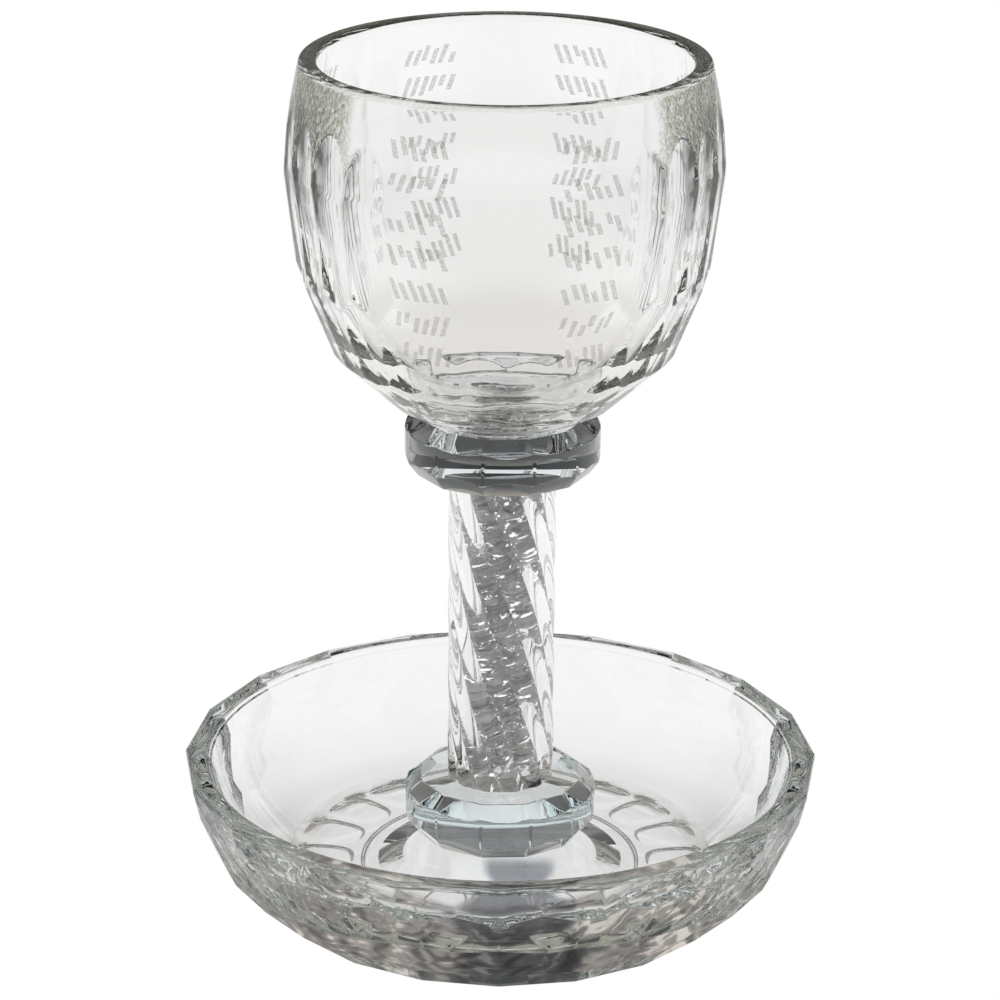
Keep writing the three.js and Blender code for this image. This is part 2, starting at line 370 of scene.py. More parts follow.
def make_polish_group():
    group = bpy.data.node_groups.new("hand_polish", "ShaderNodeTree")
    sockets = group.interface
    for name, value in POLISH_INPUTS.items():
        sockets.new_socket(name, in_out="INPUT", socket_type="NodeSocketFloat").default_value = value
    for name in ("Roughness", "Wave Height"):
        sockets.new_socket(name, in_out="OUTPUT", socket_type="NodeSocketFloat")
    sockets.new_socket("Colour", in_out="OUTPUT", socket_type="NodeSocketColor")
    nodes, links = group.nodes, group.links
    given = nodes.new("NodeGroupInput")
    result = nodes.new("NodeGroupOutput")
    place = nodes.new("ShaderNodeTexCoord").outputs["Object"]

    waves = noise(nodes, links, place, WAVE_DETAIL)
    links.new(given.outputs["Wave Scale"], waves.inputs["Scale"])
    grain = noise(nodes, links, place, GRAIN_DETAIL)
    grain.inputs["Scale"].default_value = GRAIN_SCALE
    rise = nodes.new("ShaderNodeMath")
    rise.operation = "MULTIPLY"
    links.new(grain.outputs["Fac"], rise.inputs[0])
    rise.inputs[1].default_value = GRAIN_RISE
    height = mixed(nodes, links, given.outputs["Ground"], waves.outputs["Fac"], rise.outputs["Value"])
    links.new(height, result.inputs["Wave Height"])
    colour = nodes.new("ShaderNodeMixRGB")
    colour.inputs["Color1"].default_value = CLEAR_COLOUR
    links.new(given.outputs["Ground"], colour.inputs["Fac"])
    links.new(add_ramp(group, grain.outputs["Fac"], GRAIN_COLOUR_STOPS), colour.inputs["Color2"])
    links.new(colour.outputs["Color"], result.inputs["Colour"])

    smears = noise(nodes, links, place, SMEAR_DETAIL)
    links.new(given.outputs["Smear Scale"], smears.inputs["Scale"])
    spread = nodes.new("ShaderNodeMapRange")
    spread.inputs["From Min"].default_value = SMEAR_START
    spread.inputs["From Max"].default_value = SMEAR_FULL
    links.new(smears.outputs["Fac"], spread.inputs["Value"])
    links.new(given.outputs["Clean"], spread.inputs["To Min"])
    links.new(given.outputs["Smeared"], spread.inputs["To Max"])
    matt = nodes.new("ShaderNodeValue").outputs["Value"]
    matt.default_value = GRAIN_ROUGHNESS
    roughness = mixed(nodes, links, given.outputs["Ground"], spread.outputs["Result"], matt)
    links.new(roughness, result.inputs["Roughness"])
    return group


polish = make_polish_group()
print("node group:", polish.name)

# %% [markdown]
# ## Glued faces
# The pieces of the cup are joined with clear glue that bends light as much as crystal does, so a glued
# face can not be seen. A second node group finds those faces by their height and their distance from the
# axis, and takes their alpha away. Light then runs from one piece into the next as it does in the real
# cup. Joined meshes would do the same, but then no piece could stand for its own solid.

# %% Glue group
GLUE_REACH = 0.05


def make_glue_group():
    group = bpy.data.node_groups.new("clear_glue", "ShaderNodeTree")
    for name in ("Height", "Inner Radius", "Outer Radius"):
        group.interface.new_socket(name, in_out="INPUT", socket_type="NodeSocketFloat")
    group.interface.new_socket("Alpha", in_out="OUTPUT", socket_type="NodeSocketFloat")
    nodes, links = group.nodes, group.links
    given = nodes.new("NodeGroupInput")
    result = nodes.new("NodeGroupOutput")
    split = nodes.new("ShaderNodeSeparateXYZ")
    links.new(nodes.new("ShaderNodeTexCoord").outputs["Object"], split.inputs["Vector"])
    flat = nodes.new("ShaderNodeCombineXYZ")
    links.new(split.outputs["X"], flat.inputs["X"])
    links.new(split.outputs["Y"], flat.inputs["Y"])
    reach = nodes.new("ShaderNodeVectorMath")
    reach.operation = "LENGTH"
    links.new(flat.outputs["Vector"], reach.inputs[0])

    def combined(operation, first, second):
        both = nodes.new("ShaderNodeMath")
        both.operation = operation
        links.new(first, both.inputs[0])
        links.new(second, both.inputs[1])
        both.inputs[2].default_value = GLUE_REACH * MM
        return both.outputs["Value"]

    level = combined("COMPARE", split.outputs["Z"], given.outputs["Height"])
    beyond = combined("GREATER_THAN", reach.outputs["Value"], given.outputs["Inner Radius"])
    within = combined("LESS_THAN", reach.outputs["Value"], given.outputs["Outer Radius"])
    glued = combined("MULTIPLY", combined("MULTIPLY", level, beyond), within)
    clear = nodes.new("ShaderNodeMath")
    clear.operation = "SUBTRACT"
    clear.inputs[0].default_value = 1.0
    links.new(glued, clear.inputs[1])
    links.new(clear.outputs["Value"], result.inputs["Alpha"])
    return group


glue = make_glue_group()
print("node group:", glue.name)

# %% [markdown]
# ## Five crystals
# All pieces are clear, but they were not melted together: the bowl is a little warm, the foot a little
# cool and the collar grey. The tint goes into the volume and not onto the surface, because glass looks
# darker the longer the way of the light through it. That way a thick base darkens by itself and a thin
# wall stays clear.

# %% Crystal materials
CRYSTAL_IOR = 1.54
CLEAR_TINT = (0.80, 0.86, 0.85, 1)
WARM_TINT = (0.83, 0.84, 0.77, 1)
COOL_TINT = (0.78, 0.93, 0.97, 1)
DEEP_TINT = (0.62, 0.68, 0.71, 1)
GROUND = "left_ground"
GROUND_EDGE = 0.04


def glue_faces(material, joints):
    """Clears the glued faces. Each joint is (height, inner radius, outer radius) in millimetres."""
    nodes, links = material.node_tree.nodes, material.node_tree.links
    alpha = None
    for joint in joints:
        face = nodes.new("ShaderNodeGroup")
        face.node_tree = glue
        for name, value in zip(("Height", "Inner Radius", "Outer Radius"), joint):
            face.inputs[name].default_value = value * MM
        if alpha:
            both = nodes.new("ShaderNodeMath")
            both.operation = "MULTIPLY"
            links.new(alpha, both.inputs[0])
            links.new(face.outputs["Alpha"], both.inputs[1])
            alpha = both.outputs["Value"]
        else:
            alpha = face.outputs["Alpha"]
    links.new(alpha, nodes["Principled BSDF"].inputs["Alpha"])


def ground_share(tree):
    """One where the values of the mesh say that it was left ground, seen from outside, else nought."""
    left = tree.nodes.new("ShaderNodeAttribute")
    left.attribute_name = GROUND
    share = tree.nodes.new("ShaderNodeMapRange")
    share.inputs["From Max"].default_value = GROUND_EDGE
    tree.links.new(left.outputs["Fac"], share.inputs["Value"])
    outside = tree.nodes.new("ShaderNodeMath")
    outside.operation = "SUBTRACT"
    outside.use_clamp = True
    tree.links.new(share.outputs["Result"], outside.inputs[0])
    tree.links.new(tree.nodes.new("ShaderNodeNewGeometry").outputs["Backfacing"], outside.inputs[1])
    return outside.outputs["Value"]


def crystal(name, colour, depth_of_tint, wave_scale, wave_depth, smeared):
    material = bpy.data.materials.new(name)
    material.use_nodes = True
    nodes, links = material.node_tree.nodes, material.node_tree.links
    shader = nodes["Principled BSDF"]
    shader.inputs["IOR"].default_value = CRYSTAL_IOR
    shader.inputs["Transmission Weight"].default_value = 1.0

    surface = nodes.new("ShaderNodeGroup")
    surface.node_tree = polish
    surface.inputs["Wave Scale"].default_value = wave_scale
    surface.inputs["Smeared"].default_value = smeared
    links.new(surface.outputs["Roughness"], shader.inputs["Roughness"])
    ground = ground_share(material.node_tree)
    links.new(ground, surface.inputs["Ground"])
    links.new(surface.outputs["Colour"], shader.inputs["Base Color"])
    bump = nodes.new("ShaderNodeBump")
    bump.inputs["Strength"].default_value = 1.0
    bump.inputs["Distance"].default_value = wave_depth * MM
    links.new(surface.outputs["Wave Height"], bump.inputs["Height"])
    links.new(bump.outputs["Normal"], shader.inputs["Normal"])

    tint = nodes.new("ShaderNodeVolumeAbsorption")
    tint.inputs["Color"].default_value = colour
    tint.inputs["Density"].default_value = depth_of_tint
    links.new(tint.outputs["Volume"], nodes["Material Output"].inputs["Volume"])
    return material

# %% One crystal for each piece
bowl_crystal = crystal(
    "polished_bowl", WARM_TINT, depth_of_tint=20, wave_scale=60, wave_depth=0.05, smeared=0.02
)
foot_crystal = crystal(
    "polished_foot", COOL_TINT, depth_of_tint=12, wave_scale=60, wave_depth=0.0, smeared=0.01
)
collar_crystal = crystal(
    "polished_collar", DEEP_TINT, depth_of_tint=26, wave_scale=60, wave_depth=0.0, smeared=0.01
)
stem_crystal = crystal(
    "polished_stem", CLEAR_TINT, depth_of_tint=6, wave_scale=150, wave_depth=0.02, smeared=0.02
)
saucer_crystal = crystal(
    "polished_saucer", CLEAR_TINT, depth_of_tint=14, wave_scale=60, wave_depth=0.004, smeared=0.02
)
for finish in (bowl_crystal, foot_crystal, collar_crystal, stem_crystal, saucer_crystal):
    print("crystal:", finish.name)

# %% [markdown]
# ## Two ways to make a cut surface
# The saucer and the discs have crisp flats, so they are cut as the maker grinds them: a blank, then one
# plane after another. The bowl and the stem have soft, fire-polished forms, so their outside is worked
# out as a radius for every direction and height, and a skin of small quads is laid through those points.

# %% Pieces and skins
CUP_SETBACK = 10.3


def link_object(name, mesh, material, node=None, setback=CUP_SETBACK):
    piece = bpy.data.objects.new(name, mesh)
    piece.location.y = setback * MM
    scene.collection.objects.link(piece)
    mesh.materials.append(material)
    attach(piece, BODY)
    if node:
        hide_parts(node)
    print(name, "has", len(mesh.polygons), "faces")
    return piece


def skin(name, rings, wrap=False, open_start=False):
    """A mesh through rings of points. With wrap the last ring joins the first.

    Without it a fan closes each end, or only the last one where the start is left open.
    """
    rings = np.asarray(rings, float)
    rows, columns, _ = rings.shape
    index = np.arange(rows * columns).reshape(rows, columns)
    points = [tuple(point) for point in rings.reshape(-1, 3)]
    upper = np.roll(index, -1, axis=0) if wrap else index[1:]
    lower = index if wrap else index[:-1]
    quads = np.stack([lower, np.roll(lower, -1, 1), np.roll(upper, -1, 1), upper], axis=-1)
    faces = quads.reshape(-1, 4).tolist()
    if not wrap:
        ends = [(index[-1], 1)] if open_start else [(index[0], -1), (index[-1], 1)]
        for ring, turn in ends:
            middle = len(points)
            points.append(tuple(rings.reshape(-1, 3)[ring].mean(0)))
            after = np.roll(ring, -1)
            fan = np.stack([ring, after, np.full(columns, middle)], axis=-1)
            faces += fan[:, ::turn].tolist()
    mesh = bpy.data.meshes.new(name)
    mesh.from_pydata(points, [], faces)
    mesh.update()
    return mesh


def turned_rings(profile, columns):
    """Rings for a turned form: the profile is a list of (radius, height) in millimetres."""
    angle = np.arange(columns) * (2 * math.pi / columns)
    circle = np.stack([np.cos(angle), np.sin(angle)], axis=-1)
    rings = [np.c_[circle * radius, np.full(columns, height)] for radius, height in profile]
    return np.array(rings) * MM


def soften(mesh, angle):
    mesh.shade_smooth()
    mesh.set_sharp_from_angle(angle=math.radians(angle))

# %% Ground blanks
ARRIS_LEAST_ANGLE = 8
ARRIS_STEPS = 3
ARRIS_ROUNDNESS = 0.5
CUT_TOLERANCE = 1e-8


def flat_plane(radius, height, lean, azimuth):
    """A point on one ground flat and the way it faces. A positive lean opens the flat upwards."""
    out = Vector((math.cos(math.radians(azimuth)), math.sin(math.radians(azimuth)), 0))
    facing = out * math.cos(math.radians(lean)) - Vector((0, 0, math.sin(math.radians(lean))))
    return (out * radius + Vector((0, 0, height))) * MM, facing


def row_of_flats(count, start, radius, height, lean):
    return [flat_plane(radius, height, lean, start + index * 360 / count) for index in range(count)]


def grind(bm, flats):
    for point, facing in flats:
        everything = bm.verts[:] + bm.edges[:] + bm.faces[:]
        cut = bmesh.ops.bisect_plane(
            bm, geom=everything, dist=CUT_TOLERANCE, plane_co=point, plane_no=facing, clear_outer=True
        )
        edges = [item for item in cut["geom_cut"] if isinstance(item, bmesh.types.BMEdge)]
        if edges:
            bmesh.ops.edgeloop_fill(bm, edges=edges)


def blank_cylinder(radius, bottom, top, segments):
    bm = bmesh.new()
    bmesh.ops.create_cone(
        bm, cap_ends=True, segments=segments,
        radius1=radius * MM, radius2=radius * MM, depth=(top - bottom) * MM,
    )
    bmesh.ops.translate(bm, verts=bm.verts, vec=(0, 0, (top + bottom) / 2 * MM))
    return bm


def polish_arrises(bm, width):
    """Takes off every edge of a ground form by a narrow polished arris."""
    sharp = [edge for edge in bm.edges if edge.calc_face_angle(0) > math.radians(ARRIS_LEAST_ANGLE)]
    bmesh.ops.bevel(
        bm, geom=sharp, affect="EDGES", offset_type="OFFSET",
        offset=width * MM, segments=ARRIS_STEPS, profile=ARRIS_ROUNDNESS,
    )


def finished_mesh(name, bm, sharp_angle):
    """A mesh with all faces looking outwards. Faces marked smooth stay smooth up to the sharp angle."""
    bmesh.ops.recalc_face_normals(bm, faces=bm.faces[:])
    mesh = bpy.data.meshes.new(name)
    bm.to_mesh(mesh)
    bm.free()
    mesh.set_sharp_from_angle(angle=math.radians(sharp_angle))
    return mesh

# %% [markdown]
# ## The saucer
# The saucer is pressed thick and then ground outside: a row of flats at the rim, a row of diamonds on the
# corners below it and a row of long flats down to the base. The same planes are cut from a round blank
# here, one by one, and a narrow arris is left along every edge, because no polished edge is quite sharp.

# %% Saucer outside
SAUCER_SIDES = 20
SAUCER_STEP = 360 / SAUCER_SIDES
SAUCER_HEIGHT = 24.6
SAUCER_CORNER_RADIUS = 55.0
SAUCER_BASE_CORNER_RADIUS = 41.0
SAUCER_RIM_LEAN = 13
SAUCER_DIAMOND = (53.6, 18.6)
SAUCER_DIAMOND_LEAN = 23.5
SAUCER_BASE_LEAN = 46.5
SAUCER_RIM_CHAMFER = 0.8
SAUCER_CHAMFER_LEAN = -45
SAUCER_BLANK_SPARE = 2
SAUCER_ARRIS = 0.4


def apothem(corner_radius):
    return corner_radius * math.cos(math.radians(SAUCER_STEP / 2))


def saucer_outside():
    """The ground outside, open on top and underneath."""
    bm = blank_cylinder(SAUCER_CORNER_RADIUS + SAUCER_BLANK_SPARE, 0, SAUCER_HEIGHT, SAUCER_SIDES * 2)
    side = FRONT + SAUCER_STEP / 2
    rim_apothem = apothem(SAUCER_CORNER_RADIUS)
    base_apothem = apothem(SAUCER_BASE_CORNER_RADIUS)
    grind(bm, row_of_flats(SAUCER_SIDES, side, rim_apothem, SAUCER_HEIGHT, SAUCER_RIM_LEAN))
    grind(bm, row_of_flats(SAUCER_SIDES, FRONT, *SAUCER_DIAMOND, SAUCER_DIAMOND_LEAN))
    grind(bm, row_of_flats(SAUCER_SIDES, side, base_apothem, 0, SAUCER_BASE_LEAN))
    chamfer_apothem = rim_apothem - SAUCER_RIM_CHAMFER
    grind(bm, row_of_flats(SAUCER_SIDES, side, chamfer_apothem, SAUCER_HEIGHT, SAUCER_CHAMFER_LEAN))
    polish_arrises(bm, SAUCER_ARRIS)
    caps = sorted(bm.faces, key=lambda face: face.calc_area())[-2:]
    bmesh.ops.delete(bm, geom=caps, context="FACES_ONLY")
    print("saucer outside has", len(bm.faces), "faces")
    return bm


saucer = saucer_outside()

# %% [markdown]
# ## Hollow and underside of the saucer
# The hollow and the recess underneath are plain turned forms. Around the recess lies a rosette of shallow
# petals, one under each corner, whose far ends show through the clear floor as dark hooks. All of them
# are open sheets that end in the plane of the rim or of the underside, and flat rings between their edges
# close the piece. Cuts by booleans would do it too, but the sheets keep even quads, and these shade
# smoothly.

# %% Saucer inside
SAUCER_FLOOR_TOP = 5.7
SAUCER_FLOOR_RADIUS = 36.6
SAUCER_MOUTH_RADIUS = 50.4
SAUCER_WALL_BEND = (47.4, 14.1)
SAUCER_LIP = 0.9
SAUCER_LIP_STEPS = 8
SAUCER_WALL_STEPS = 40
SAUCER_FLOOR_RINGS = (24.0, 12.0)
SAUCER_HOLLOW_COLUMNS = 180
SAUCER_RECESS_COLUMNS = 160
SAUCER_SHARP_ANGLE = 25
SAUCER_RECESS = [(24.4, 0), (24.0, 0.35), (23.3, 0.56), (22.8, 0.6), (21.3, 0.6), (17.0, 2.7)]
PETAL_MIDDLE = 31.0
PETAL_REACH = 5.4
PETAL_SPREAD = 8.5
PETAL_DEPTH = 0.75
PETAL_FALL = 0.85
PETAL_SQUARENESS = 0.7
PETAL_FALL_POWER = 3
PETAL_FLATNESS = 8
PETAL_POINTS = 48
PETAL_SHARES = np.r_[1.0, 0.985, 0.965, 0.94, 0.9, 0.84, np.linspace(0.75, 0.06, 9)]
PLANE_TOLERANCE = 1e-7


def saucer_hollow_profile():
    lip = []
    for angle in np.linspace(math.pi / 2, 0, SAUCER_LIP_STEPS):
        radius = SAUCER_MOUTH_RADIUS + SAUCER_LIP * (1 - math.cos(angle))
        lip.append((radius, SAUCER_HEIGHT - SAUCER_LIP + SAUCER_LIP * math.sin(angle)))
    start = np.array((SAUCER_FLOOR_RADIUS, SAUCER_FLOOR_TOP))
    bend = np.array(SAUCER_WALL_BEND)
    end = np.array((SAUCER_MOUTH_RADIUS, SAUCER_HEIGHT))
    share = np.linspace(1, 0, SAUCER_WALL_STEPS)[:, None]
    wall = start * (1 - share) ** 2 + 2 * bend * share * (1 - share) + end * share**2
    wall = [tuple(point) for point in wall if point[1] < SAUCER_HEIGHT - SAUCER_LIP]
    floor = [(radius, SAUCER_FLOOR_TOP) for radius in SAUCER_FLOOR_RINGS]
    return lip + wall + floor


def petal_rings(azimuth):
    """Rings of one shallow petal, from its edge in the underside to its deepest point."""
    angle = np.linspace(0, 2 * math.pi, PETAL_POINTS, endpoint=False)
    along = np.sign(np.cos(angle)) * np.abs(np.cos(angle)) ** PETAL_SQUARENESS
    aside = np.sign(np.sin(angle)) * np.abs(np.sin(angle)) ** PETAL_SQUARENESS
    rings = []
    for share in PETAL_SHARES:
        out = PETAL_MIDDLE + PETAL_REACH * share * along
        turn = np.radians(azimuth + PETAL_SPREAD * share * aside)
        fall = 1 - PETAL_FALL * ((1 + share * along) / 2) ** PETAL_FALL_POWER
        height = PETAL_DEPTH * (1 - share**PETAL_FLATNESS) * fall
        rings.append(np.stack([out * np.cos(turn), out * np.sin(turn), height], axis=-1) * MM)
    return rings


def close_plane(bm, height):
    """Fills the flat between all open edges that lie at one height."""
    edges = [
        edge for edge in bm.edges
        if edge.is_boundary and all(abs(vert.co.z - height * MM) < PLANE_TOLERANCE for vert in edge.verts)
    ]
    bmesh.ops.triangle_fill(bm, use_beauty=True, edges=edges, normal=(0, 0, 1))


def make_saucer(bm):
    sheets = [
        turned_rings(saucer_hollow_profile(), SAUCER_HOLLOW_COLUMNS),
        turned_rings(SAUCER_RECESS, SAUCER_RECESS_COLUMNS),
    ]
    sheets += [petal_rings(FRONT + index * SAUCER_STEP) for index in range(SAUCER_SIDES)]
    for rings in sheets:
        sheet = skin("sheet", rings, open_start=True)
        sheet.shade_smooth()
        bm.from_mesh(sheet)
    close_plane(bm, SAUCER_HEIGHT)
    close_plane(bm, 0)
    mesh = finished_mesh("saucer_glass", bm, SAUCER_SHARP_ANGLE)
    return link_object("saucer_glass", mesh, saucer_crystal, "saucer", 0)


make_saucer(saucer)

# %% [markdown]
# ## Foot and collar
# Both discs are the same round of thick crystal with twelve flats ground around each edge. Between the
# flats a narrow round band is left, which works as a lens and shows as a bright belt. They are ground
# like the saucer, because planes give every flat its true outline.

# %% Discs
DISC_RADIUS = 16.8
DISC_HEIGHT = 10.0
DISC_FLATS = 12
DISC_TURN = 18
DISC_STEPS_TO_FLAT = 12
DISC_LOWER_RADIUS = 14.55
DISC_LOWER_LEAN = 36
DISC_UPPER_RADIUS = 13.95
DISC_UPPER_LEAN = -50
DISC_ARRIS = 0.15
DISC_SHARP_ANGLE = 8
UPRIGHT_LIMIT = 1e-4
GLUE_GAP = 0.03


def make_disc(name, node, bottom, material):
    top = bottom + DISC_HEIGHT
    bm = blank_cylinder(DISC_RADIUS, bottom + GLUE_GAP, top - GLUE_GAP, DISC_FLATS * DISC_STEPS_TO_FLAT)
    start = FRONT + DISC_TURN + 180 / DISC_FLATS
    grind(bm, row_of_flats(DISC_FLATS, start, DISC_LOWER_RADIUS, bottom, DISC_LOWER_LEAN))
    grind(bm, row_of_flats(DISC_FLATS, start, DISC_UPPER_RADIUS, top, DISC_UPPER_LEAN))
    polish_arrises(bm, DISC_ARRIS)
    for face in bm.faces:
        face.smooth = abs(face.normal.z) < UPRIGHT_LIMIT
    mesh = finished_mesh(name, bm, DISC_SHARP_ANGLE)
    return link_object(name, mesh, material, node)

# %% Foot and collar in place
FOOT_BOTTOM = SAUCER_FLOOR_TOP
STEM_BOTTOM = FOOT_BOTTOM + DISC_HEIGHT
STEM_HEIGHT = 57.3
COLLAR_BOTTOM = STEM_BOTTOM + STEM_HEIGHT
BOWL_BOTTOM = COLLAR_BOTTOM + DISC_HEIGHT
STEM_RADIUS = 9.35
STEM_REED_DEPTH = 0.75
STEM_BORE = 6.3
BOWL_SEAT = 12.8
stem_ends = (STEM_BORE, STEM_RADIUS - STEM_REED_DEPTH / 2)
glue_faces(foot_crystal, [(STEM_BOTTOM, *stem_ends)])
glue_faces(collar_crystal, [(COLLAR_BOTTOM, *stem_ends), (BOWL_BOTTOM, 0, BOWL_SEAT)])
make_disc("foot_disc", "foot", FOOT_BOTTOM, foot_crystal)
make_disc("collar_disc", "collar", COLLAR_BOTTOM, collar_crystal)

# %% [markdown]
# ## The twisted stem
# The stem is a thick drawn tube with twelve reeds, twisted while it was hot. Its columns of quads follow
# the twist, so that each groove stays one unbroken line from end to end.

# %% Stem tube
STEM_REEDS = 12
STEM_TWIST = 136
STEM_COLUMNS = STEM_REEDS * 18
STEM_ROWS = 150
STEM_BORE_SKIP = 6
STEM_SHARP_ANGLE = 50
STEM_ANGLES = np.arange(STEM_COLUMNS) * (2 * math.pi / STEM_COLUMNS)


def stem_ring(height, radius):
    turned = STEM_ANGLES - math.radians(STEM_TWIST) * height / STEM_HEIGHT
    level = np.full(STEM_COLUMNS, STEM_BOTTOM + height)
    return np.stack([radius * np.cos(turned), radius * np.sin(turned), level], axis=-1) * MM


def make_stem():
    reeded = STEM_RADIUS - STEM_REED_DEPTH * (1 - np.abs(np.sin(STEM_REEDS / 2 * STEM_ANGLES)))
    bore = np.full(STEM_COLUMNS, STEM_BORE)
    heights = np.linspace(GLUE_GAP, STEM_HEIGHT - GLUE_GAP, STEM_ROWS)
    rings = [stem_ring(height, reeded) for height in heights]
    rings += [stem_ring(height, bore) for height in heights[::-STEM_BORE_SKIP]]
    mesh = skin("stem_tube", rings, wrap=True)
    soften(mesh, STEM_SHARP_ANGLE)
    return link_object("stem_tube", mesh, stem_crystal, "stem")


glue_faces(stem_crystal, [(STEM_BOTTOM, 0, STEM_RADIUS), (COLLAR_BOTTOM, 0, STEM_RADIUS)])
make_stem()

# %% [markdown]
# ## Crushed crystal in the stem
# The bore is packed with broken crystal. Each chip is the hull of a few random points, turned and pushed
# into the bore layer by layer. Real chips would need hundreds of bends of light for each ray, so they are
# given a pale silvery finish instead for their grey body, and their white sparks are painted glints that
# glow.

# %% Chip finish
CHIP_GRAIN_SCALE = 1100
CHIP_GRAIN_DEPTH = 0.5
# Painted glints: the grain levels at which the chips glow white.
CHIP_PAINTED_GLINT_STOPS = [(0.60, grey(0.0)), (0.67, grey(0.9))]
CHIP_COLOUR_STOPS = [(0.0, (0.74, 0.75, 0.77)), (1.0, (1.0, 1.0, 1.0))]
CHIP_METALLIC = 0.3
CHIP_ROUGHNESS = 0.15


def chip_material():
    material = bpy.data.materials.new("crushed_crystal")
    material.use_nodes = True
    tree = material.node_tree
    shader = tree.nodes["Principled BSDF"]
    chip = tree.nodes.new("ShaderNodeNewGeometry").outputs["Random Per Island"]
    colour = add_ramp(tree, chip, CHIP_COLOUR_STOPS)
    tree.links.new(colour, shader.inputs["Base Color"])
    place = tree.nodes.new("ShaderNodeTexCoord").outputs["Object"]
    grain = noise(tree.nodes, tree.links, place, GRAIN_DETAIL)
    grain.inputs["Scale"].default_value = CHIP_GRAIN_SCALE
    # Painted glints: where the grain is highest the chips glow white, standing in for sparks of light.
    tree.links.new(add_ramp(tree, grain.outputs["Fac"], CHIP_PAINTED_GLINT_STOPS), shader.inputs["Emission Color"])
    shader.inputs["Emission Strength"].default_value = 1.0
    bump = tree.nodes.new("ShaderNodeBump")
    bump.inputs["Distance"].default_value = CHIP_GRAIN_DEPTH * MM
    tree.links.new(grain.outputs["Fac"], bump.inputs["Height"])
    tree.links.new(bump.outputs["Normal"], shader.inputs["Normal"])
    shader.inputs["Metallic"].default_value = CHIP_METALLIC
    shader.inputs["Roughness"].default_value = CHIP_ROUGHNESS
    return material

# %% Chips
CHIP_SEED = 7
CHIP_LAYER = 0.95
CHIP_SIZE = (0.85, 1.25)
CHIP_ROUNDNESS = (0.75, 1.0)
CHIP_POINTS = 11
CHIPS_OUTSIDE = 17
CHIPS_INSIDE = 7
CHIP_OUTSIDE_REACH = (5.0, 5.5)
CHIP_INSIDE_REACH = (2.6, 3.4)
CHIP_TURN = 0.12
CHIP_LIFT = 0.5
CHIP_SIDE_GAP = 0.08
CHIP_END_GAP = 0.1
chance = random.Random(CHIP_SEED)


def add_chip(bm, middle, size):
    """Adds one chip, the hull of random points, and keeps it inside the bore."""
    limit = STEM_BORE - CHIP_SIDE_GAP
    lowest = STEM_BOTTOM + CHIP_END_GAP
    highest = STEM_BOTTOM + STEM_HEIGHT - CHIP_END_GAP
    corners = []
    for _ in range(CHIP_POINTS):
        way = Vector((chance.gauss(0, 1), chance.gauss(0, 1), chance.gauss(0, 1))).normalized()
        corner = middle + way * size * chance.uniform(*CHIP_ROUNDNESS)
        across = math.hypot(corner.x, corner.y)
        if across > limit:
            corner.x *= limit / across
            corner.y *= limit / across
        corner.z = min(max(corner.z, lowest), highest)
        corners.append(bm.verts.new(corner * MM))
    hull = bmesh.ops.convex_hull(bm, input=corners)
    bmesh.ops.delete(bm, geom=hull["geom_interior"], context="VERTS")


def make_chips():
    bm = bmesh.new()
    layers = int(STEM_HEIGHT / CHIP_LAYER)
    for layer in range(layers):
        height = STEM_BOTTOM + (layer + 0.5) * STEM_HEIGHT / layers
        turn = chance.uniform(0, 2 * math.pi)
        for seat in range(CHIPS_OUTSIDE + CHIPS_INSIDE):
            outside = seat < CHIPS_OUTSIDE
            count = CHIPS_OUTSIDE if outside else CHIPS_INSIDE
            out = chance.uniform(*(CHIP_OUTSIDE_REACH if outside else CHIP_INSIDE_REACH))
            angle = turn + seat * 2 * math.pi / count + chance.uniform(-CHIP_TURN, CHIP_TURN)
            lift = chance.uniform(-CHIP_LIFT, CHIP_LIFT)
            middle = Vector((out * math.cos(angle), out * math.sin(angle), height + lift))
            add_chip(bm, middle, chance.uniform(*CHIP_SIZE))
    mesh = bpy.data.meshes.new("stem_chips")
    bm.to_mesh(mesh)
    bm.free()
    return link_object("stem_chips", mesh, chip_material())


make_chips()

# %% [markdown]
# ## The outline of the bowl
# The bowl is blown thick and its sides are ground with rows of narrow flats, while front and back keep
# their round windows. The wheel is round and a hand holds the bowl, so each flat is slightly hollow and a
# little off its place. The finished radius is a soft minimum of the blank and all the flats, which rounds
# every meeting edge a little, as polishing does. Planes cut one by one would be crisper, but they could
# be neither hollow nor soft.

# %% Hand-cut flats
BOWL_FLATS = 28
BOWL_WIDEST = (36.7, 44.4)
BOWL_BELT = (34.35, 25.7)
BOWL_HIP = (28.95, 12.0)
BOWL_HEEL = (20.15, 3.9)
WINDOW_HIP = (28.75, 12.0)
WINDOW_HIP_LEAN = 29.0
BOWL_SHOULDER_LEAN = -4.0
WINDOW_HALF_ANGLE = 31
WINDOW_FOOT_HALF_ANGLE = 25
FLAT_HOLLOW = 0.010
FLAT_DEEPER = 0.006
HAND_SHIFT = 0.9
HAND_LEAN = 0.6
HAND_DEPTH = 0.0025
HAND_SEED = 5


def lean_between(low, high):
    return math.degrees(math.atan2(high[0] - low[0], high[1] - low[1]))


def from_window_middle(azimuth):
    return abs((azimuth - FRONT + 90) % 180 - 90)


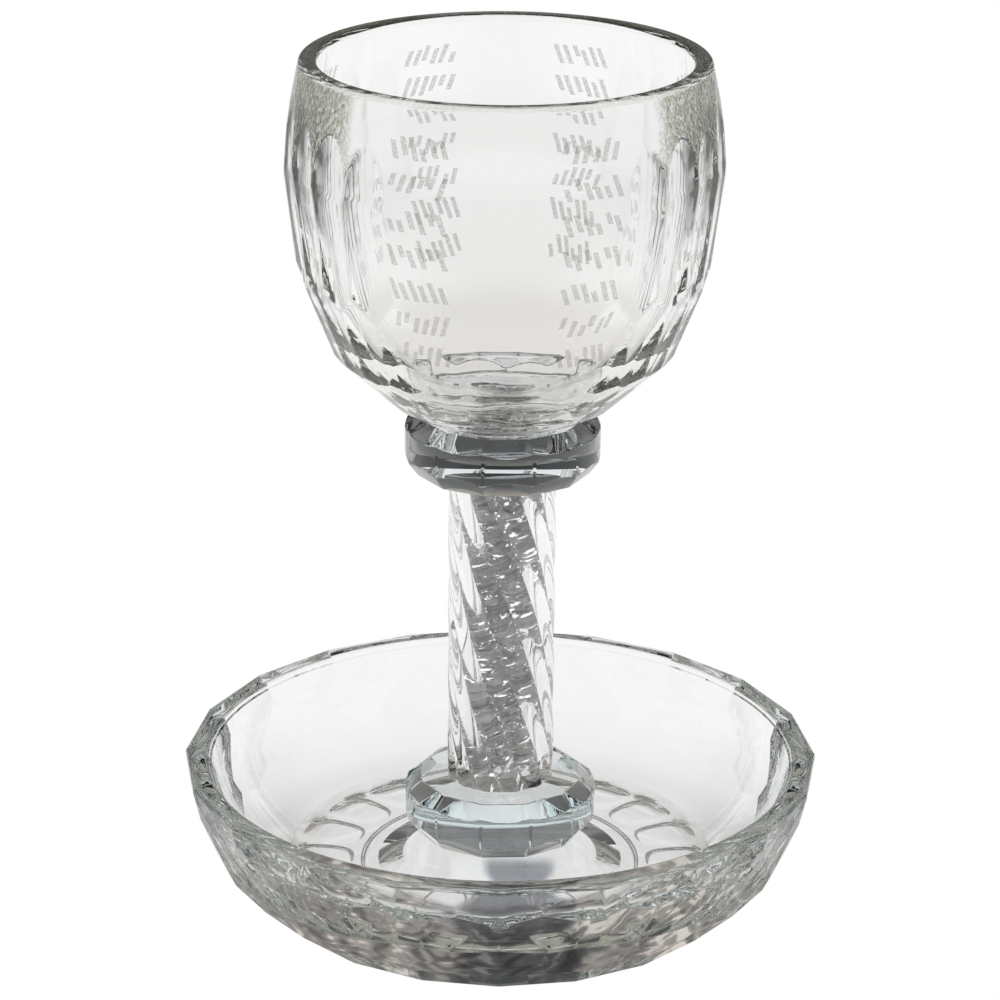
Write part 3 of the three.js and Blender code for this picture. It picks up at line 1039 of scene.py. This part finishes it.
def bowl_flats():
    """Every flat of the bowl as (radius, height, lean, azimuth, hollow), each a little off its place."""
    hand = random.Random(HAND_SEED)
    pitch = 360 / BOWL_FLATS
    beside, below, around = (WINDOW_HALF_ANGLE, 90), (WINDOW_FOOT_HALF_ANGLE, 90), (0, 90)
    rows = [
        (BOWL_WIDEST, BOWL_SHOULDER_LEAN, 0, beside, FLAT_HOLLOW),
        (BOWL_BELT, lean_between(BOWL_BELT, BOWL_WIDEST), 0, beside, FLAT_HOLLOW),
        (BOWL_HIP, lean_between(BOWL_HIP, BOWL_BELT), pitch / 2, below, FLAT_HOLLOW / 2),
        (WINDOW_HIP, WINDOW_HIP_LEAN, pitch / 2, (0, WINDOW_FOOT_HALF_ANGLE), 0),
        (BOWL_HEEL, lean_between(BOWL_HEEL, BOWL_HIP), 0, around, 0),
    ]
    flats = []
    for (radius, height), lean, shift, (least, most), hollow in rows:
        for index in range(BOWL_FLATS):
            azimuth = FRONT + shift + index * pitch
            if least <= from_window_middle(azimuth) <= most:
                depth = 1 - HAND_DEPTH * hand.random()
                if hollow:
                    depth -= FLAT_DEEPER
                off = hand.uniform(-HAND_SHIFT, HAND_SHIFT)
                tilt = hand.uniform(-HAND_LEAN, HAND_LEAN)
                flats.append((radius * depth, height, lean + tilt, azimuth + off, hollow))
    return flats


BOWL_CUTS = bowl_flats()
print("bowl flats:", len(BOWL_CUTS))

# %% Finished outside of the bowl
BOWL_HEIGHT = 62.0
BOWL_OUTER_POINTS = [
    (BOWL_SEAT, 0),
    (20.75, 4.1),
    (29.6, 12.2),
    (34.7, 25.7),
    (37.0, 44.4),
    (34.2, BOWL_HEIGHT),
]
BOWL_OUTER_STEPS = 40
BOWL_EDGE_SOFTNESS = 0.03
LEAST_COSINE = 0.3
SHOULDER_HALF_ANGLE = 43
SHOULDER_FADE = 0.008
SHOULDER_BOTTOM = 44.0


def spline(points, steps):
    """Points along a smooth curve through the given points, with steps to each span."""
    points = np.array(points, float)
    padded = np.vstack([points[0], points, points[-1]])
    run = []
    for before, start, end, after in zip(padded, padded[1:], padded[2:], padded[3:]):
        t = np.linspace(0, 1, steps, endpoint=False)[:, None]
        leave, arrive = (end - before) / 2, (after - start) / 2
        cubic = (2 * start - 2 * end + leave + arrive) * t**3
        square = (-3 * start + 3 * end - 2 * leave - arrive) * t**2
        run.append(cubic + square + leave * t + start)
    return np.vstack(run + [points[-1:]])


BOWL_BLANK = spline(BOWL_OUTER_POINTS, BOWL_OUTER_STEPS)


def blank_radius(height):
    return np.interp(height, BOWL_BLANK[:, 1], BOWL_BLANK[:, 0])


def flat_radii(azimuth, height):
    """The radius of every flat in millimetres, at azimuths in degrees and heights above the underside."""
    radii = []
    for radius, level, lean, centre, hollow in BOWL_CUTS:
        aside = (azimuth - centre + 180) % 360 - 180
        across = np.maximum(np.cos(np.radians(aside)), LEAST_COSINE)
        rise = radius * hollow * (aside * BOWL_FLATS / 180) ** 2
        radii.append((radius + (height - level) * math.tan(math.radians(lean))) / across + rise)
    return np.array(radii)


def bowl_outer_radius(azimuth, height):
    """The finished outer radius: the soft minimum of the blank and all flats."""
    reach = np.concatenate([flat_radii(azimuth, height), [blank_radius(height) + 0 * azimuth]])
    least = reach.min(0)
    return least - BOWL_EDGE_SOFTNESS * np.log(np.exp((least - reach) / BOWL_EDGE_SOFTNESS).sum(0))


def left_ground(azimuth, height):
    """How far inside the ground shoulders a point lies. It is negative on polished crystal."""
    clear = flat_radii(azimuth, height).min(0) - blank_radius(height)
    beside = (from_window_middle(azimuth) - SHOULDER_HALF_ANGLE) * SHOULDER_FADE
    return np.minimum(np.minimum(clear, beside), height - SHOULDER_BOTTOM)

# %% [markdown]
# ## The skin of the bowl
# Rings of points run up the outside from the glued underside, over the round rim and down the smooth
# inside. Blowing leaves low waves in the bottom of the inside, and a value on every point says where the
# shoulders and the rim were left as they came from the wheel. Light crosses the thick bottom so often that
# it looks a little darker, so a faint painted shade along the height is multiplied into its colour there.

# %% Bowl
BOWL_COLUMNS = BOWL_FLATS * 14
BOWL_SEAT_RINGS = (6.0, 11.8)
BOWL_FINE_TOP = 14.0
BOWL_FINE_ROWS = 45
BOWL_SIDE_ROWS = 90
BOWL_INNER_POINTS = [
    (0.01, 2.7),
    (10.6, 3.9),
    (19.0, 8.3),
    (26.2, 15.4),
    (31.15, 25.7),
    (33.5, 44.4),
    (31.0, BOWL_HEIGHT),
]
BOWL_INNER_STEPS = 15
BOWL_INNER_LEAST = 0.5
BOWL_RIM_ROUND = 0.9
BOWL_RIM_STEPS = 6
BOWL_SHARP_ANGLE = 40
POLISHED = -1.0
RIM_GROUND = 0.009
WAVE_DEPTH = 0.10
WAVE_TOP = 19.0
MOULD_WAVES = [(7, 0.9, 0.0), (11, -0.6, 1.0), (0, 0.8, 0.0)]


def mould_waves(azimuth, height):
    """Low waves inside the bottom, in millimetres. Each is (count around, climb with height, start)."""
    turn = np.radians(azimuth)
    waves = sum(np.sin(count * turn + climb * height + start) for count, climb, start in MOULD_WAVES)
    fade = np.clip((WAVE_TOP - height) / WAVE_TOP, 0, 1)
    return WAVE_DEPTH * fade * waves


def make_bowl():
    azimuth = FRONT + np.arange(BOWL_COLUMNS) * 360 / BOWL_COLUMNS
    circle = np.stack([np.cos(np.radians(azimuth)), np.sin(np.radians(azimuth))], axis=-1)
    rings, grounds = [], []

    def add_ring(radius, height, ground=POLISHED):
        radius = np.broadcast_to(radius, azimuth.shape)
        level = np.full(BOWL_COLUMNS, BOWL_BOTTOM + height)
        rings.append(np.c_[circle * radius[:, None], level] * MM)
        grounds.append(np.broadcast_to(ground, azimuth.shape))

    for radius in BOWL_SEAT_RINGS:
        add_ring(radius, GLUE_GAP)
    rim_foot = BOWL_HEIGHT - BOWL_RIM_ROUND
    fine = np.linspace(0, BOWL_FINE_TOP, BOWL_FINE_ROWS)[1:]
    side = np.linspace(BOWL_FINE_TOP, rim_foot, BOWL_SIDE_ROWS)[1:]
    for height in np.r_[GLUE_GAP, fine, side]:
        radius = bowl_outer_radius(azimuth, np.full(BOWL_COLUMNS, height))
        add_ring(radius, height, left_ground(azimuth, np.full(BOWL_COLUMNS, height)))
    inner = spline(BOWL_INNER_POINTS, BOWL_INNER_STEPS)[:-1]
    rim_inner = np.interp(rim_foot, inner[:, 1], inner[:, 0])
    for angle in np.linspace(0, math.pi / 2, BOWL_RIM_STEPS)[1:]:
        inset = BOWL_RIM_ROUND * (1 - math.cos(angle))
        add_ring(radius - inset, BOWL_HEIGHT - BOWL_RIM_ROUND * (1 - math.sin(angle)), RIM_GROUND)
    for angle in np.linspace(math.pi / 2, 0, BOWL_RIM_STEPS):
        inset = BOWL_RIM_ROUND * (1 - math.cos(angle))
        level = BOWL_HEIGHT - BOWL_RIM_ROUND * (1 - math.sin(angle))
        add_ring(rim_inner + inset, level, RIM_GROUND * math.sin(angle))
    for radius, height in inner[::-1]:
        if height < rim_foot and radius > BOWL_INNER_LEAST:
            add_ring(radius + mould_waves(azimuth, height), height)
    mesh = skin("bowl_glass", rings)
    soften(mesh, BOWL_SHARP_ANGLE)
    ground = mesh.attributes.new(GROUND, "FLOAT", "POINT")
    ground.data.foreach_set("value", np.r_[np.ravel(grounds), POLISHED, POLISHED].astype(np.float32))
    return link_object("bowl_glass", mesh, bowl_crystal, "bowl")

# %% Bowl in place
# Painted shade: a warm grey multiplied into the colour of the bowl, full at the bottom and gone by 17 mm
# up.
BOTTOM_SHADE = (0.87, 0.855, 0.835)
BOTTOM_SHADE_STOPS = [(0, BOTTOM_SHADE), (10, BOTTOM_SHADE), (17, grey(1.0))]


def shade_thick_bottom(material):
    """A faint painted shade on the thick bottom, which light crosses many times."""
    nodes, links = material.node_tree.nodes, material.node_tree.links
    split = nodes.new("ShaderNodeSeparateXYZ")
    links.new(nodes.new("ShaderNodeTexCoord").outputs["Object"], split.inputs["Vector"])
    shader = nodes["Principled BSDF"]
    surface = shader.inputs["Base Color"].links[0].from_socket
    stops = [((BOWL_BOTTOM + height) * MM, colour) for height, colour in BOTTOM_SHADE_STOPS]
    # The painted shade along the height, darker towards the bottom.
    bottom_shade = add_ramp(material.node_tree, split.outputs["Z"], stops)
    links.new(multiplied(material.node_tree, surface, bottom_shade), shader.inputs["Base Color"])


glue_faces(bowl_crystal, [(BOWL_BOTTOM, 0, BOWL_SEAT)])
shade_thick_bottom(bowl_crystal)
make_bowl()

# %% [markdown]
# ## Rows of strokes
# The bowl carries rows of fine matt strokes, sand-blasted through a stencil, in eight columns around it.
# Each stroke is a thin plate that follows the surface of the bowl, a hair proud of it, so that it stays a
# shape of its own and is seen from outside and through the glass. A picture on the surface would be
# quicker to make, but it would have no edge of its own.

# %% Stroke finish
STROKE_GRAIN_SCALE = 2500
STROKE_ALPHA_STOPS = [(0.35, grey(0.12)), (0.65, grey(0.27))]
STROKE_COLOUR_STOPS = [(0.35, (0.66, 0.63, 0.60)), (0.65, (0.82, 0.80, 0.78))]
STROKE_ROUGHNESS = 0.7


def stroke_material():
    material = bpy.data.materials.new("stroke_frost")
    material.use_nodes = True
    tree = material.node_tree
    shader = tree.nodes["Principled BSDF"]
    grain = tree.nodes.new("ShaderNodeTexNoise")
    grain.inputs["Scale"].default_value = STROKE_GRAIN_SCALE
    tree.links.new(tree.nodes.new("ShaderNodeTexCoord").outputs["Object"], grain.inputs["Vector"])
    tree.links.new(add_ramp(tree, grain.outputs["Fac"], STROKE_COLOUR_STOPS), shader.inputs["Base Color"])
    tree.links.new(add_ramp(tree, grain.outputs["Fac"], STROKE_ALPHA_STOPS), shader.inputs["Alpha"])
    shader.inputs["Roughness"].default_value = STROKE_ROUGHNESS
    return material

# %% Strokes
STROKE_SEED = 11
STROKE_COLUMNS = 8
STROKE_ROWS = 7
STROKE_TOP_ROW = 54.9
STROKE_ROW_PITCH = 5.8
STROKES_IN_ROW = 6
STROKE_SPACING = 1.62
STROKE_WIDTH = 0.85
STROKE_HEIGHT = 3.5
STROKE_SLANT = 1.1
STROKE_PROUD = 0.04
STROKE_SUNK = 0.06
STROKE_LEVELS = 6
STROKE_LENGTHS = (1.0, 0.8, 0.55)


def stroke_grids(places):
    """Outer and inner grids of points for all strokes. Each place is (azimuth, height, tall, slant)."""
    azimuth, height, tall, slant = np.array(places).T[:, :, None, None]
    level = np.linspace(-0.5, 0.5, STROKE_LEVELS)[None, :, None]
    across = np.array([-0.5, 0.0, 0.5])[None, None, :]
    heights = height + tall * level + 0 * across
    azimuths = azimuth + np.degrees((slant * level + STROKE_WIDTH * across) / BOWL_BELT[0])
    radius = bowl_outer_radius(azimuths, heights)
    grids = []
    for offset in (STROKE_PROUD, -STROKE_SUNK):
        x = (radius + offset) * np.cos(np.radians(azimuths))
        y = (radius + offset) * np.sin(np.radians(azimuths))
        grids.append(np.stack([x, y, BOWL_BOTTOM + heights], axis=-1) * MM)
    return zip(*grids)


def add_plate(points, faces, outer, inner):
    rows, columns, _ = outer.shape
    base = len(points)
    points += [tuple(point) for grid in (outer, inner) for point in grid.reshape(-1, 3)]
    front = base + np.arange(rows * columns).reshape(rows, columns)
    back = front + rows * columns
    for grid, turn in ((front, 1), (back, -1)):
        quads = np.stack([grid[:-1, :-1], grid[:-1, 1:], grid[1:, 1:], grid[1:, :-1]], axis=-1)
        faces += quads.reshape(-1, 4)[:, ::turn].tolist()
    edge = np.r_[0:columns, columns * np.arange(2, rows) - 1, rows * columns - 1 - np.arange(columns)]
    edge = np.r_[edge, (columns * np.arange(rows - 2, 0, -1))]
    after = np.roll(edge, -1)
    under = base + rows * columns
    faces += np.stack([base + edge, under + edge, under + after, base + after], axis=-1).tolist()


def make_strokes():
    places = []
    luck = random.Random(STROKE_SEED)
    for column in range(STROKE_COLUMNS):
        middle = FRONT + 180 / STROKE_COLUMNS + column * 360 / STROKE_COLUMNS
        for row in range(STROKE_ROWS):
            height = STROKE_TOP_ROW - row * STROKE_ROW_PITCH
            lean = luck.choice((-1, 1)) * STROKE_SLANT
            for index in range(STROKES_IN_ROW):
                offset = (index - (STROKES_IN_ROW - 1) / 2) * STROKE_SPACING
                tall = STROKE_HEIGHT * luck.choice(STROKE_LENGTHS)
                lift = (STROKE_HEIGHT - tall) / 2 * luck.choice((-1, 1))
                azimuth = middle + math.degrees(offset / BOWL_BELT[0])
                places.append((azimuth, height + lift, tall, lean * tall / STROKE_HEIGHT))
    points, faces = [], []
    for outer, inner in stroke_grids(places):
        add_plate(points, faces, outer, inner)
    mesh = bpy.data.meshes.new("bowl_strokes")
    mesh.from_pydata(points, [], faces)
    mesh.update()
    return link_object("bowl_strokes", mesh, stroke_material())


make_strokes()
